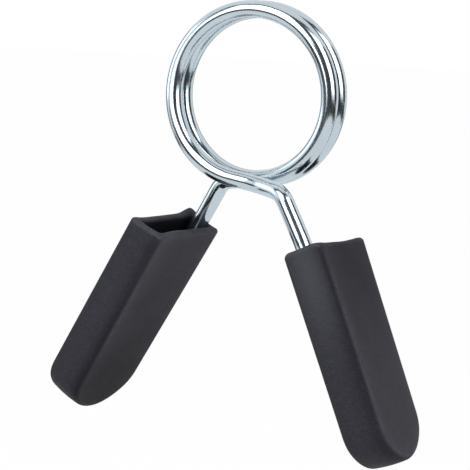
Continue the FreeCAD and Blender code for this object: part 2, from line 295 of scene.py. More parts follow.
def tube(line, travelled, across, wire, dents, chamfers):
    """Round tube: p(s, a) = line(s) + r(s, a) * (n(s) cos a + b(s) sin a).

    b is the across direction made square to the tangent t, and n = b x t. The radius r is the wire's, less a
    dent of depth d at each knee: d * exp(-((s - knee) / width)^2) on the side that faces into the bend, times
    that side's cosine squared. Each end closes in three rows, a chamfer of its own size, a flat ring and a
    pole. Returns the surface, and each point's place for the finish, along the wire and across it.
    """
    tangent = unit(np.gradient(line, axis=0))
    b = unit(across - np.sum(across * tangent, axis=1, keepdims=True) * tangent)
    n = np.cross(b, tangent)
    a = np.linspace(0, math.tau, wire.around, endpoint=False)
    outward = n[:, None] * np.cos(a)[None, :, None] + b[:, None] * np.sin(a)[None, :, None]
    radius = np.full(outward.shape[:2], wire.diameter / 2)
    for place, inside in dents:
        pressed = np.exp(-((travelled - place) / DENT_WIDTH) ** 2)[:, None]
        facing = np.clip(outward @ inside, 0, 1) ** 2
        radius -= wire.knee_dent * pressed * facing
    rows = line[:, None] + radius[..., None] * outward
    near, far = chamfers
    shrink = 1 - 2 * np.array(chamfers) / wire.diameter
    first = line[0] + (rows[0] - line[0]) * np.array([0, shrink[0], 1])[:, None, None]
    first[2] += tangent[0] * near
    last = line[-1] + (rows[-1] - line[-1]) * np.array([1, shrink[1], 0])[:, None, None]
    last[0] -= tangent[-1] * far
    inner = (travelled > near * CHAMFER_MARGIN) & (travelled < travelled[-1] - far * CHAMFER_MARGIN)
    grid = np.concatenate([first, rows[inner], last])
    along = np.r_[0, 0, near, travelled[inner], travelled[-1] - far, travelled[-1], travelled[-1]]
    place = np.empty(grid.shape)
    place[..., 0] = along[:, None]
    place[..., 1] = (np.cos(a) * wire.diameter / 2)[None, :]
    place[..., 2] = (np.sin(a) * wire.diameter / 2)[None, :]
    return grid, place


def leg_line(wire, turn):
    """The leg after the coil: splay bend, crossing run, knee, mouth and the hairpin in the grip.

    Its corners are the coil's end, a point further along the coil's own heading, the knee, the mouth, the two
    corners of the hairpin's foot and its tip. Each run of the hairpin lies half span - slant * depth from its
    middle. The foot's bends have the radius foot span * tan((90 degrees + atan slant) / 2) and meet halfway.
    """
    end = helix(wire, -wire.wound / 2)
    heading = -unit(np.array([
        -wire.coil_radius * math.cos(wire.wound / 2),
        wire.pitch / math.tau,
        -wire.coil_radius * math.sin(wire.wound / 2),
    ]))
    knee, mouth = np.array(wire.knee), np.array(wire.mouth)
    across, up = turn[:, 1], turn[:, 2]
    middle = mouth + across * wire.hairpin_half_span
    foot_span = wire.hairpin_half_span - wire.hairpin_slant * wire.hairpin_depth
    tip_span = wire.hairpin_half_span - wire.hairpin_slant * wire.hairpin_tip
    splay = end + heading * wire.splay_run
    foot = middle - up * wire.hairpin_depth
    tip = middle - up * wire.hairpin_tip + across * tip_span
    bend = foot_span * math.tan((math.pi / 2 + math.atan(wire.hairpin_slant)) / 2)
    corners = [end, splay, knee, mouth, foot - across * foot_span, foot + across * foot_span, tip]
    radii = [wire.splay_radius, wire.knee_radius, wire.mouth_radius, bend, bend]
    return rounded_line(corners, radii, wire.along)


def grip_axes(grips, side):
    """Columns are a grip's thickness, width and length directions: a twist about Z, then a lean about Y."""
    tilt, twist = getattr(grips, f"{side}_tilt"), getattr(grips, f"{side}_twist")
    return turned_about(AXIS_Y, -tilt) @ turned_about(AXIS_Z, twist)


def tongue(half_mouth, half_foot, height, corner, crown_rise):
    """Outline of a flat tongue in (y, z), from the mouth down one side, round the end and up the other side.

    The end is two corner arcs of one radius c and a crown arc of radius (w^2 + r^2 - 2 w c) / (2 crown rise)
    that touches both, with w the foot's half width and r = c + crown rise. Each side slants from the mouth to
    its corner arc, which it touches. Returns points, outward normals and spine points.
    """
    rise = corner + crown_rise
    crown = (half_foot ** 2 + rise ** 2 - 2 * half_foot * corner) / (2 * crown_rise)
    lean = math.atan2(half_foot - corner, crown - rise)
    straight = height - rise
    overhang = half_mouth - half_foot + corner
    touch = math.atan2(straight, overhang) - math.acos(corner / math.hypot(straight, overhang))
    centre = np.array([corner - half_foot, -straight])
    side_normal = np.array([-math.cos(touch), math.sin(touch)])
    down = np.linspace(0, 1, SIDE_ROWS)[:, None] ** SIDE_CROWDING
    side_points = np.array([-half_mouth, 0]) * (1 - down) + (centre + corner * side_normal) * down
    side_normals = np.tile(side_normal, (SIDE_ROWS, 1))
    turned = np.linspace(math.pi - touch, 1.5 * math.pi - lean, CORNER_ROWS + 1)[1:]
    corner_normals = np.stack([np.cos(turned), np.sin(turned)], axis=-1)
    corner_points = centre + corner * corner_normals
    swept = np.linspace(-lean, 0, CROWN_ROWS + 1)[1:]
    crown_normals = np.stack([np.sin(swept), -np.cos(swept)], axis=-1)
    crown_points = np.array([0, crown - height]) + crown * crown_normals
    points = np.concatenate([side_points, corner_points, crown_points])
    normals = np.concatenate([side_normals, corner_normals, crown_normals])
    spine = np.zeros_like(points)
    spine[:, 1] = half_foot - height
    spine[:SIDE_ROWS, 1:] = (half_foot - height) * down
    mirrored = np.array([-1.0, 1.0])
    return tuple(np.concatenate([part, part[-2::-1] * mirrored]) for part in (points, normals, spine))


def section(half_thickness, edge, side_bulge, face_crown):
    """Half section of a grip, from the middle of one wide face round a narrow side to that of the other.

    The narrow side is an arc of the bulge's radius B, over the angle asin((h - e) / (B - e)) on both sides of
    its middle, and each edge is an arc of radius e that touches it and the wide face. Returns for each step
    how far in it lies from the outline, its share of the way from the spine, its x, and its mark: up to 1 on
    an edge, worn and painted pale as a highlight, and below 0 in the band beside it, painted dark as shade.
    """
    rim_x = half_thickness - face_crown
    reach = math.asin((rim_x - edge) / (side_bulge - edge))
    depth = side_bulge - (side_bulge - edge) * math.cos(reach)
    flat = np.linspace(0, 1, FACE_STEPS)[:-1]
    turned = np.linspace(math.pi / 2, reach, EDGE_STEPS)
    wall = np.linspace(-reach, reach, WALL_STEPS)[1:-1]
    from_spine = np.concatenate([flat, np.ones(len(turned) * 2 + len(wall)), flat[::-1]])
    round_inset = depth - edge * np.cos(turned)
    round_x = rim_x - edge + edge * np.sin(turned)
    inset = np.concatenate([
        np.full(len(flat), depth),
        round_inset,
        side_bulge * (1 - np.cos(wall)),
        round_inset[::-1],
        np.full(len(flat), depth),
    ])
    x = np.concatenate([
        -(half_thickness - face_crown * flat ** 2),
        -round_x,
        side_bulge * np.sin(wall),
        round_x[::-1],
        half_thickness - face_crown * flat[::-1] ** 2,
    ])
    # Wear with a painted highlight on and near the edge, and painted shade beside it on the narrow side
    near_face = FACE_WEAR_AND_PAINTED_HIGHLIGHT * np.exp((flat - 1) * FACE_REACH / FACE_HIGHLIGHT_FADE)
    from_edge = (reach - np.abs(wall)) * side_bulge
    near_wall = NEAR_WALL_PAINTED_SHADE * np.exp(-(from_edge / NEAR_WALL_FADE) ** 2)
    near_wall += WALL_PAINTED_SHADE * np.exp(-from_edge / WALL_FADE)
    around = np.interp(np.degrees(turned), EDGE_ANGLES, EDGE_WEAR_AND_PAINTED_LIGHT)
    worn_and_painted = np.concatenate([near_face, around, near_wall, around[::-1], near_face[::-1]])
    return inset, from_spine, x, worn_and_painted


def shell(outline, profile):
    """Surface of a closed tongue at the thickness x(v), and in the wide plane at

    p(u, v) = spine(u) + share(v) * (outline(u) - normal(u) * inset(v) - spine(u)).
    """
    points, normals, spine = outline
    inset, from_spine, x, _ = profile
    wide = spine[:, None] + from_spine[None, :, None] * (
        points[:, None] - normals[:, None] * inset[None, :, None] - spine[:, None]
    )
    return np.concatenate([np.broadcast_to(x[None, :, None], wide.shape[:2] + (1,)), wide], axis=-1)


def lip(outer, inner, rim):
    """The mouth's lip between two matching half sections: p(m, v) = outer + m (inner - outer).

    Its height is that of a flat strip with a quarter circle of the rim's radius at both sides.
    """
    shares = 0.5 - 0.5 * np.cos(np.linspace(0, math.pi, LIP_STEPS))
    strip = outer[None] + shares[:, None, None] * (inner - outer)[None]
    reach = np.linalg.norm(inner - outer, axis=-1)[None]
    from_edge = np.minimum(shares, 1 - shares)[:, None] * reach
    short = np.clip(rim - from_edge, 0, rim)
    strip[..., 2] += np.sqrt(rim ** 2 - short ** 2)
    return strip


def mouth_wave(local, side):
    """How far the lip stands up or sags: its slope across the thickness and Gaussian swells at set places."""
    x, y = local[..., 0], local[..., 1]
    slope, swells = LIPS[side]
    total = slope * x
    for place_x, place_y, spread_x, spread_y, rise in swells:
        total = total + rise * np.exp(-((x - place_x) / spread_x) ** 2 - ((y - place_y) / spread_y) ** 2)
    return total


# Each mouth's slope across the thickness, and its swells: place in x and y, spread in x and y, and rise
LIPS = {
    "left": (-0.17, [
        (-0.007, 0.019, 0.004, 0.005, -0.0004),
        (0.007, -0.017, 0.004, 0.0035, 0.0020),
        (0.007, 0.019, 0.005, 0.005, 0.0007),
        (-0.007, -0.0196, 0.006, 0.0018, -0.0013),
        (-0.007, -0.015, 0.004, 0.004, -0.0002),
        (-0.007, 0.008, 0.003, 0.005, 0.0006),
    ]),
    "right": (-0.03, [
        (0.0035, -0.0193, 0.004, 0.004, 0.0007),
        (0.007, 0.004, 0.004, 0.012, -0.0005),
        (0.007, 0.0196, 0.006, 0.0020, -0.0012),
        (-0.0075, -0.0193, 0.0018, 0.006, -0.0009),
        (-0.007, -0.004, 0.004, 0.008, 0.0006),
    ]),
}


def painted_light_and_shade(local, side):
    """Painted light and shade on the grip, pale above 0 and dark below 0: the sum over its patches of amount
    * exp(-|(p - place) / spread|^2).
    """
    total = np.zeros(local.shape[:2])
    for place, spread, amount in PAINTED_LIGHT_PATCHES[side]:
        away = (local - np.array(place)) / np.array(spread)
        total += amount * np.exp(-np.sum(away ** 2, axis=-1))
    return total


# Each grip's patches of painted light and shade: place and spread in x, y and z, and amount, above 0 painted
# light and below 0 painted shade
PAINTED_LIGHT_PATCHES = {
    "left": [
        ((-0.007, 0.0, -0.066), (0.0013, 0.030, 0.025), -0.92),
        ((-0.007, 0.0, -0.004), (0.0013, 0.030, 0.018), 0.26),
        ((0.0, 0.0193, -0.030), (0.006, 0.004, 0.028), 0.10),
    ],
    "right": [
        ((0.007, 0.0, -0.002), (0.0013, 0.030, 0.022), -0.62),
        ((0.007, 0.0, -0.066), (0.0013, 0.030, 0.022), 0.24),
        ((0.0, -0.0193, -0.008), (0.0055, 0.004, 0.020), 0.68),
    ],
}


def sleeve(grips, side):
    """A grip in its own frame, as its outer shell, its pocket, and the lip between them on each side.

    The pocket is the same tongue and section, smaller by the walls. Each height z then gains the mouth's wave
    times exp(z / reach), which leaves the sleeve below the lip as it is. Returns the grids and their wear and
    painted light.
    """
    height = grips.length - grips.rim
    outline = tongue(grips.mouth_half_width, grips.foot_half_width, height, grips.corner, grips.crown_rise)
    hollow = tongue(
        grips.mouth_half_width - grips.side_wall, grips.foot_half_width - grips.side_wall,
        height - grips.side_wall, grips.corner - grips.side_wall, grips.crown_rise,
    )
    outside = section(grips.half_thickness, grips.edge, grips.side_bulge, grips.face_crown)
    inside = section(grips.half_thickness - grips.face_wall, grips.pocket_edge, grips.side_bulge, 0.0)
    outer, inner = shell(outline, outside), shell(hollow, inside)
    grids = [outer, inner, lip(outer[0], inner[0], grips.rim), lip(outer[-1], inner[-1], grips.rim)]
    for grid in grids:
        grid[..., 2] -= grips.rim
        fading = np.exp(np.minimum(grid[..., 2], 0) / grips.lip_reach)
        grid[..., 2] += mouth_wave(grid, side) * fading
    return grids, edge_wear_and_painted_light(grids, outside[-1])


def edge_wear_and_painted_light(grids, across):
    """Wear and painted light on each point of a sleeve's edges: 1 where worn and painted pale, -1 where
    painted shade.

    The outer shell takes its section's marks, but keeps its painted shade, below 0, only where x and y differ
    in sign. The pocket falls to -1 with its depth as painted shade, the lips fall from 1 to 0 inwards, and
    all gain the mouth's wear and painted highlight times exp(-|z| / fade).
    """
    outer, inner, *lips = grids
    worn_and_painted = np.broadcast_to(across[None], outer.shape[:2])
    # The painted shade beside the edges stays only where x and y differ in sign
    painted_shade_half = np.clip(0.5 - np.sign(outer[..., 0]) * outer[..., 1] / PAINTED_SHADE_CHANGE, 0, 1)
    wear_and_painted_light = [np.maximum(worn_and_painted, 0) + np.minimum(worn_and_painted, 0) * painted_shade_half]
    # The pocket is painted dark as shade with its depth
    wear_and_painted_light.append(-np.clip(-inner[..., 2] / POCKET_PAINTED_SHADE_DEPTH, 0, 1))
    wear_and_painted_light += [np.broadcast_to(np.linspace(1, 0, LIP_STEPS)[:, None], strip.shape[:2]) for strip in lips]
    # Wear and a painted highlight at the mouth
    near_mouth = [np.exp(-np.abs(grid[..., 2]) / MOUTH_HIGHLIGHT_FADE) for grid in grids]
    return [np.clip(painted_light_mark + near * MOUTH_WEAR_AND_PAINTED_HIGHLIGHT, -1, 1) for painted_light_mark, near in zip(wear_and_painted_light, near_mouth)]


# Meshes

def grid_faces(rows, columns, wrap, offset=0):
    """Four corners of every cell of a grid, as one array; point (r, c) has the number r * columns + c."""
    row = np.arange(rows - 1)[:, None] * columns
    column = np.arange(columns if wrap else columns - 1)[None, :]
    beside = (column + 1) % columns
    corners = [row + column, row + beside, row + columns + beside, row + columns + column]
    return offset + np.stack(np.broadcast_arrays(*corners), axis=-1).reshape(-1, 4)


def make_piece(name, grids, wrap, material, attributes):
    """A closed smooth mesh from grids of points, its doubles merged and its faces turned outwards.

    Each attribute has a name, a kind and one array of values for each grid.
    """
    faces, offset = [], 0
    for grid in grids:
        faces.append(grid_faces(grid.shape[0], grid.shape[1], wrap, offset))
        offset += grid.shape[0] * grid.shape[1]
    points = np.concatenate([grid.reshape(-1, 3) for grid in grids])
    mesh = bpy.data.meshes.new(name)
    mesh.from_pydata(points.tolist(), [], np.concatenate(faces).tolist())
    for label, kind, values in attributes:
        attribute = mesh.attributes.new(label, kind, "POINT")
        flat = np.concatenate([part.ravel() for part in values]).astype(np.float32)
        attribute.data.foreach_set("vector" if kind == "FLOAT_VECTOR" else "value", flat)
    shape = bmesh.new()
    shape.from_mesh(mesh)
    bmesh.ops.remove_doubles(shape, verts=shape.verts, dist=MERGE_DISTANCE)
    bmesh.ops.recalc_face_normals(shape, faces=shape.faces)
    open_edges = [edge for edge in shape.edges if not edge.is_manifold]
    shape.to_mesh(mesh)
    shape.free()
    if open_edges:
        raise RuntimeError(f"{name} has {len(open_edges)} open edges")
    mesh.polygons.foreach_set("use_smooth", np.ones(len(mesh.polygons), bool))
    mesh.set_sharp_from_angle(angle=SHARP_ANGLE)
    mesh.materials.append(material)
    piece = bpy.data.objects.new(name, mesh)
    bpy.context.scene.collection.objects.link(piece)
    return piece


# Shader node groups and materials

def new_group(name, numbers, results):
    """A shader node group with a vector, numbers with their defaults and results, and its two end nodes."""
    group = bpy.data.node_groups.new(name, "ShaderNodeTree")
    group.interface.new_socket(name="Vector", in_out="INPUT", socket_type="NodeSocketVector")
    for label, default in numbers.items():
        socket = group.interface.new_socket(name=label, in_out="INPUT", socket_type="NodeSocketFloat")
        socket.default_value = default
    for label in results:
        group.interface.new_socket(name=label, in_out="OUTPUT", socket_type="NodeSocketFloat")
    return group, group.nodes.new("NodeGroupInput"), group.nodes.new("NodeGroupOutput")


def set_or_link(tree, socket, value):
    """Links a socket's value, or sets a plain one."""
    if isinstance(value, bpy.types.NodeSocket):
        tree.links.new(value, socket)
    else:
        socket.default_value = value


def add_noise(tree, vector, scale, detail, roughness):
    """Noise from 0 to 1, most of it near 0.5."""
    noise = tree.nodes.new("ShaderNodeTexNoise")
    noise.inputs["Detail"].default_value = detail
    noise.inputs["Roughness"].default_value = roughness
    tree.links.new(vector, noise.inputs["Vector"])
    tree.links.new(scale, noise.inputs["Scale"])
    return noise.outputs["Fac"]


def add_range(tree, value, low, high, to_low=0.0, to_high=1.0):
    """A value between low and high brought to the same share of the way from to_low to to_high."""
    node = tree.nodes.new("ShaderNodeMapRange")
    node.clamp = True
    for label, number in (("From Min", low), ("From Max", high), ("To Min", to_low), ("To Max", to_high)):
        node.inputs[label].default_value = number
    tree.links.new(value, node.inputs["Value"])
    return node.outputs["Result"]


def add_math(tree, operation, first, second):
    node = tree.nodes.new("ShaderNodeMath")
    node.operation = operation
    set_or_link(tree, node.inputs[0], first)
    set_or_link(tree, node.inputs[1], second)
    return node.outputs["Value"]


def add_product(tree, first, second):
    return add_math(tree, "MULTIPLY", first, second)


def add_sum(tree, first, second):
    return add_math(tree, "ADD", first, second)


def add_colour_mix(tree, factor, first, second):
    """The first colour where the factor is 0, and the second where it is 1."""
    node = tree.nodes.new("ShaderNodeMix")
    node.data_type = "RGBA"
    tree.links.new(factor, node.inputs["Factor"])
    for label, value in (("A", first), ("B", second)):
        socket = next(s for s in node.inputs if s.name == label and s.type == "RGBA")
        set_or_link(tree, socket, value if isinstance(value, bpy.types.NodeSocket) else (*value, 1.0))
    return next(s for s in node.outputs if s.type == "RGBA")


def add_stretch(tree, vector, scale, rotation=(0.0, 0.0, 0.0)):
    """A place turned and then scaled, which draws a pattern out along the axes whose scale is small."""
    node = tree.nodes.new("ShaderNodeMapping")
    node.inputs["Rotation"].default_value = rotation
    node.inputs["Scale"].default_value = scale
    tree.links.new(vector, node.inputs["Vector"])
    return node.outputs["Vector"]


def add_bump(tree, height, distance, strength, normal=None):
    bump = tree.nodes.new("ShaderNodeBump")
    bump.inputs["Distance"].default_value = distance
    bump.inputs["Strength"].default_value = strength
    tree.links.new(height, bump.inputs["Height"])
    if normal is not None:
        tree.links.new(normal, bump.inputs["Normal"])
    return bump.outputs["Normal"]


def surface_grain():
    """Fine grain and broad mottling of a surface, both as heights from 0 to 1."""
    if "Surface grain" in bpy.data.node_groups:
        return bpy.data.node_groups["Surface grain"]
    numbers = {"Grain scale": 1500.0, "Mottle scale": 90.0}
    group, given, put = new_group("Surface grain", numbers, ["Grain", "Mottle"])
    vector, grain_scale, mottle_scale = (given.outputs[label] for label in ("Vector", *numbers))
    grain = add_noise(group, vector, grain_scale, detail=3.0, roughness=0.6)
    mottle = add_noise(group, vector, mottle_scale, detail=4.0, roughness=0.55)
    group.links.new(add_range(group, grain, 0.3, 0.7), put.inputs["Grain"])
    group.links.new(add_range(group, mottle, 0.3, 0.7), put.inputs["Mottle"])
    return group


def handling_wear():
    """Wear along edges: the edge mask broken up by noise, and fine scuffs away from the edges."""
    if "Handling wear" in bpy.data.node_groups:
        return bpy.data.node_groups["Handling wear"]
    numbers = {"Edge": 0.0, "Scale": 300.0}
    group, given, put = new_group("Handling wear", numbers, ["Wear", "Scuff"])
    vector, edge, scale = (given.outputs[label] for label in ("Vector", *numbers))
    patches = add_noise(group, vector, scale, detail=5.0, roughness=0.65)
    broken = add_product(group, edge, add_range(group, patches, 0.30, 0.62, 0.35, 1.0))
    scuffs = add_noise(group, vector, add_product(group, scale, 0.35), detail=8.0, roughness=0.75)
    group.links.new(broken, put.inputs["Wear"])
    group.links.new(add_range(group, scuffs, 0.60, 0.72), put.inputs["Scuff"])
    return group


def place_group(tree, group, vector, **values):
    """A shader node group in a material, with its values by the names of their sockets."""
    node = tree.nodes.new("ShaderNodeGroup")
    node.node_tree = group
    tree.links.new(vector, node.inputs["Vector"])
    for label, value in values.items():
        set_or_link(tree, node.inputs[label.replace("_", " ").capitalize()], value)
    return node


def read_attribute(tree, name):
    node = tree.nodes.new("ShaderNodeAttribute")
    node.attribute_type = "GEOMETRY"
    node.attribute_name = name
    return node


def new_material(name):
    """A material that has only its output yet, its node tree, and the socket that takes its shader."""
    material = bpy.data.materials.new(name)
    material.use_nodes = True
    tree = material.node_tree
    tree.nodes.clear()
    return material, tree, tree.nodes.new("ShaderNodeOutputMaterial").inputs["Surface"]


def add_surface(tree, put, base, rough, normal):
    """The Principled BSDF of a material, with its colour, roughness and normal linked."""
    surface = tree.nodes.new("ShaderNodeBsdfPrincipled")
    tree.links.new(base, surface.inputs["Base Color"])
    tree.links.new(rough, surface.inputs["Roughness"])
    tree.links.new(normal, surface.inputs["Normal"])
    tree.links.new(surface.outputs["BSDF"], put)
    return surface


def plated_wire_material(finishes):
    """Bright plating on drawn wire: a mirror with faint lengthwise drawing lines, dulled patches and pits."""
    if "Bright plated wire" in bpy.data.materials:
        return bpy.data.materials["Bright plated wire"]
    material, tree, put = new_material("Bright plated wire")
    run = read_attribute(tree, "wire_run").outputs["Vector"]
    drawn = add_stretch(tree, run, scale=(0.04, 1.0, 1.0))
    lines = place_group(tree, surface_grain(), drawn, grain_scale=2600.0, mottle_scale=420.0)
    spots = place_group(tree, surface_grain(), run, grain_scale=1700.0, mottle_scale=130.0)
    wear = place_group(tree, handling_wear(), run, edge=0.0, scale=420.0)
    dull = add_product(tree, spots.outputs["Mottle"], 0.35)
    dull = add_sum(tree, dull, add_product(tree, wear.outputs["Scuff"], 0.35))
    base = add_colour_mix(tree, dull, finishes.plating, finishes.plating_shade)
    rough = add_sum(tree, finishes.plating_gloss, add_product(tree, lines.outputs["Mottle"], 0.05))
    rough = add_sum(tree, rough, add_product(tree, dull, 0.10))
    normal = add_bump(tree, lines.outputs["Grain"], distance=0.000004, strength=0.35)
    normal = add_bump(tree, spots.outputs["Mottle"], distance=0.00002, strength=0.15, normal=normal)
    surface = add_surface(tree, put, base, rough, normal)
    surface.inputs["Metallic"].default_value = 0.98
    return material


def moulded_grip_material(finishes):
    """Dull black moulded plastic: a fine pebble drawn across the grip, uneven gloss, rubbed skin, painted
    highlights and shade.
    """
    if "Moulded black grip" in bpy.data.materials:
        return bpy.data.materials["Moulded black grip"]
    material, tree, put = new_material("Moulded black grip")
    place = read_attribute(tree, "grip_place").outputs["Vector"]
    # Edge marks: wear and a painted highlight on the edges, painted shade beside them and in the pocket
    edge = read_attribute(tree, "edge").outputs["Fac"]
    # Patches of painted light and painted shade
    painted_light_mark = read_attribute(tree, "painted_light_and_shade").outputs["Fac"]
    slanted = (math.radians(12), math.radians(-14), 0.0)
    drawn = add_stretch(tree, place, scale=(0.28, 0.28, 1.0), rotation=slanted)
    streaks = place_group(tree, surface_grain(), drawn, grain_scale=2300.0, mottle_scale=700.0)
    grain = place_group(tree, surface_grain(), place, grain_scale=2600.0, mottle_scale=75.0)
    wear = place_group(tree, handling_wear(), place, edge=edge, scale=260.0)
    # Wear on the edges, which also paints their highlight, and fine scuffs
    worn_and_painted_highlight = add_sum(tree, wear.outputs["Wear"], add_product(tree, wear.outputs["Scuff"], 0.2))
    # Painted shade beside the edges and in the pocket
    painted_shade = add_range(tree, edge, -1.0, 0.0, 1.0, 0.0)
    base = add_colour_mix(tree, painted_shade, finishes.rubber, finishes.rubber_painted_shade)
    base = add_colour_mix(tree, worn_and_painted_highlight, base, finishes.rubber_worn_and_painted_light)
    speckle = add_product(tree, grain.outputs["Grain"], streaks.outputs["Grain"])
    speckle = add_product(tree, speckle, 0.85)
    speckle = add_product(tree, speckle, add_range(tree, edge, -1.0, 0.0, 0.35, 1.0))
    base = add_colour_mix(tree, speckle, base, finishes.rubber_speck)
    # Painted light and painted shade from the patches
    base = add_colour_mix(tree, add_range(tree, painted_light_mark, 0.0, 1.0), base, finishes.rubber_worn_and_painted_light)
    base = add_colour_mix(tree, add_range(tree, painted_light_mark, -1.0, 0.0, 1.0, 0.0), base, finishes.rubber_painted_shade)
    uneven = add_range(tree, grain.outputs["Mottle"], 0.0, 1.0, -0.04, 0.04)
    rough = add_sum(tree, finishes.rubber_roughness, uneven)
    rough = add_math(tree, "SUBTRACT", rough, add_product(tree, wear.outputs["Wear"], 0.08))
    normal = add_bump(tree, grain.outputs["Grain"], distance=0.00006, strength=0.5)
    normal = add_bump(tree, streaks.outputs["Grain"], distance=0.00006, strength=0.5, normal=normal)
    normal = add_bump(tree, grain.outputs["Mottle"], distance=0.0002, strength=0.10, normal=normal)
    surface = add_surface(tree, put, base, rough, normal)
    surface.inputs["Specular IOR Level"].default_value = 0.07
    return material


def seen_by_mirrors(tree):
    """1 for rays from the camera, a mirror or glass, and 0 for rays that carry soft light."""
    path = tree.nodes.new("ShaderNodeLightPath")
    either = add_math(tree, "MAXIMUM", path.outputs["Is Camera Ray"], path.outputs["Is Glossy Ray"])
    return add_math(tree, "MAXIMUM", either, path.outputs["Is Transmission Ray"])


def add_shader_mix(tree, factor, first, second):
    """The first shader where the factor is 0, and the second where it is 1."""
    node = tree.nodes.new("ShaderNodeMixShader")
    for socket, value in zip(node.inputs, (factor, first, second)):
        tree.links.new(value, socket)
    return node.outputs["Shader"]


def floor_material():
    """Pale matt floor that reads as white to the camera and still takes a shadow."""
    material, tree, put = new_material("Pale floor")
    matt = tree.nodes.new("ShaderNodeBsdfDiffuse")
    matt.inputs["Color"].default_value = FLOOR_COLOUR
    white = tree.nodes.new("ShaderNodeEmission")
    white.inputs["Color"].default_value = WHITE
    seen = add_product(tree, seen_by_mirrors(tree), FLOOR_WHITENESS)
    tree.links.new(add_shader_mix(tree, seen, matt.outputs["BSDF"], white.outputs["Emission"]), put)
    return material


def card_material(brightness):
    """Plain emission of one brightness, where 1 is white."""
    material, tree, put = new_material("Studio card")
    card = tree.nodes.new("ShaderNodeEmission")
    card.inputs["Color"].default_value = CARD_COLOUR
    card.inputs["Strength"].default_value = brightness
    tree.links.new(card.outputs["Emission"], put)
    return material


# Operators

class CollarOperator:
    bl_options = {"REGISTER"}


class BuildSpringWire(CollarOperator, bpy.types.Operator):
    """Builds the one bent wire as its still coil and its two springing legs"""
    bl_idname = "collar.build_spring_wire"
    bl_label = "Build Spring Wire"

    def execute(self, context):
        wire, grips = context.scene.collar_wire, context.scene.collar_grips
        material = plated_wire_material(context.scene.collar_finishes)
        self.still_coil(wire, material)
        for side, turned_round in SIDES.items():
            self.springing_leg(side, wire, grip_axes(grips, side), turned_round, material)
        return {"FINISHED"}

    def still_coil(self, wire, material):
        """The middle of the helix, a tube whose across direction is its tangent's cross product with Y."""
        turned = np.linspace(-wire.still_half, wire.still_half, COIL_SAMPLES)
        line, travelled = evenly_spaced(helix(wire, turned), wire.along)
        across = np.cross(unit(np.gradient(line, axis=0)), AXIS_Y)
        grid, place = tube(line, travelled, across, wire, [], (0.0, 0.0))
        place[..., 0] += wire.coil_radius * (wire.wound / 2 - wire.still_half)
        coil = make_piece("coil_wire", [grid], True, material, [("wire_run", "FLOAT_VECTOR", [place])])
        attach(coil, "coil")
        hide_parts("coil_spring")

    def springing_leg(self, side, wire, turn, turned_round, material):
        """The helix from the still coil's end, then the leg: a tube with a dent in the knee and a cut end.

        Its across direction is the coil's, and changes to the grip's thickness direction over a height round
        the mouth.
        """
        arc = helix(wire, np.linspace(-wire.still_half, -wire.wound / 2, ARC_SAMPLES))
        leg = leg_line(wire, turn)
        line, travelled = evenly_spaced(np.concatenate([arc[:-1], leg]), wire.along)
        tangent = unit(np.gradient(line, axis=0))
        below = np.clip((wire.mouth[2] + ACROSS_CHANGE / 2 - line[:, 2]) / ACROSS_CHANGE, 0, 1)[:, None]
        below[np.argmax(below[:, 0] >= 1):] = 1
        across = unit(np.cross(tangent, AXIS_Y)) * (1 - below) + turn[:, 0] * below
        knee = np.array(wire.knee)
        nearest = np.argmin(np.linalg.norm(line - knee, axis=1))
        dents = [(travelled[nearest], unit(line[nearest] - knee))]
        grid, place = tube(line, travelled, across, wire, dents, (0.0, wire.end_chamfer))
        placed = [grid * turned_round]
        leg = make_piece(f"{side}_leg_wire", placed, True, material, [("wire_run", "FLOAT_VECTOR", [place])])
        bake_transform(leg)
        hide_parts(f"{side}_leg")


class BuildGrips(CollarOperator, bpy.types.Operator):
    """Builds the two flat moulded grips that sleeve the wire's ends"""
    bl_idname = "collar.build_grips"
    bl_label = "Build Grips"

    def execute(self, context):
        wire, grips = context.scene.collar_wire, context.scene.collar_grips
        material = moulded_grip_material(context.scene.collar_finishes)
        for side, turned_round in SIDES.items():
            self.grip(side, wire, grips, turned_round, material)
        return {"FINISHED"}

    def grip(self, side, wire, grips, turned_round, material):
        """A sleeve round its hairpin: mouth - length * slide + width * half span + thickness * stand off."""
        turn = grip_axes(grips, side)
        middle = (
            np.array(wire.mouth) - turn[:, 2] * getattr(grips, f"{side}_slide")
            + turn[:, 1] * wire.hairpin_half_span + turn[:, 0] * grips.stand_off
        )
        grids, wear_and_painted_light = sleeve(grips, side)
        placed = [(middle + grid @ turn.T) * turned_round for grid in grids]
        kept = [
            # Edge marks of wear, painted highlights and painted shade, and patches of painted light and shade
            ("edge", "FLOAT", wear_and_painted_light),
            ("painted_light_and_shade", "FLOAT", [painted_light_and_shade(grid, side) for grid in grids]),
            ("grip_place", "FLOAT_VECTOR", grids),
        ]
        grip = make_piece(f"{side}_grip_sleeve", placed, False, material, kept)
        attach(grip, f"{side}_lever")
        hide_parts(f"{side}_grip")


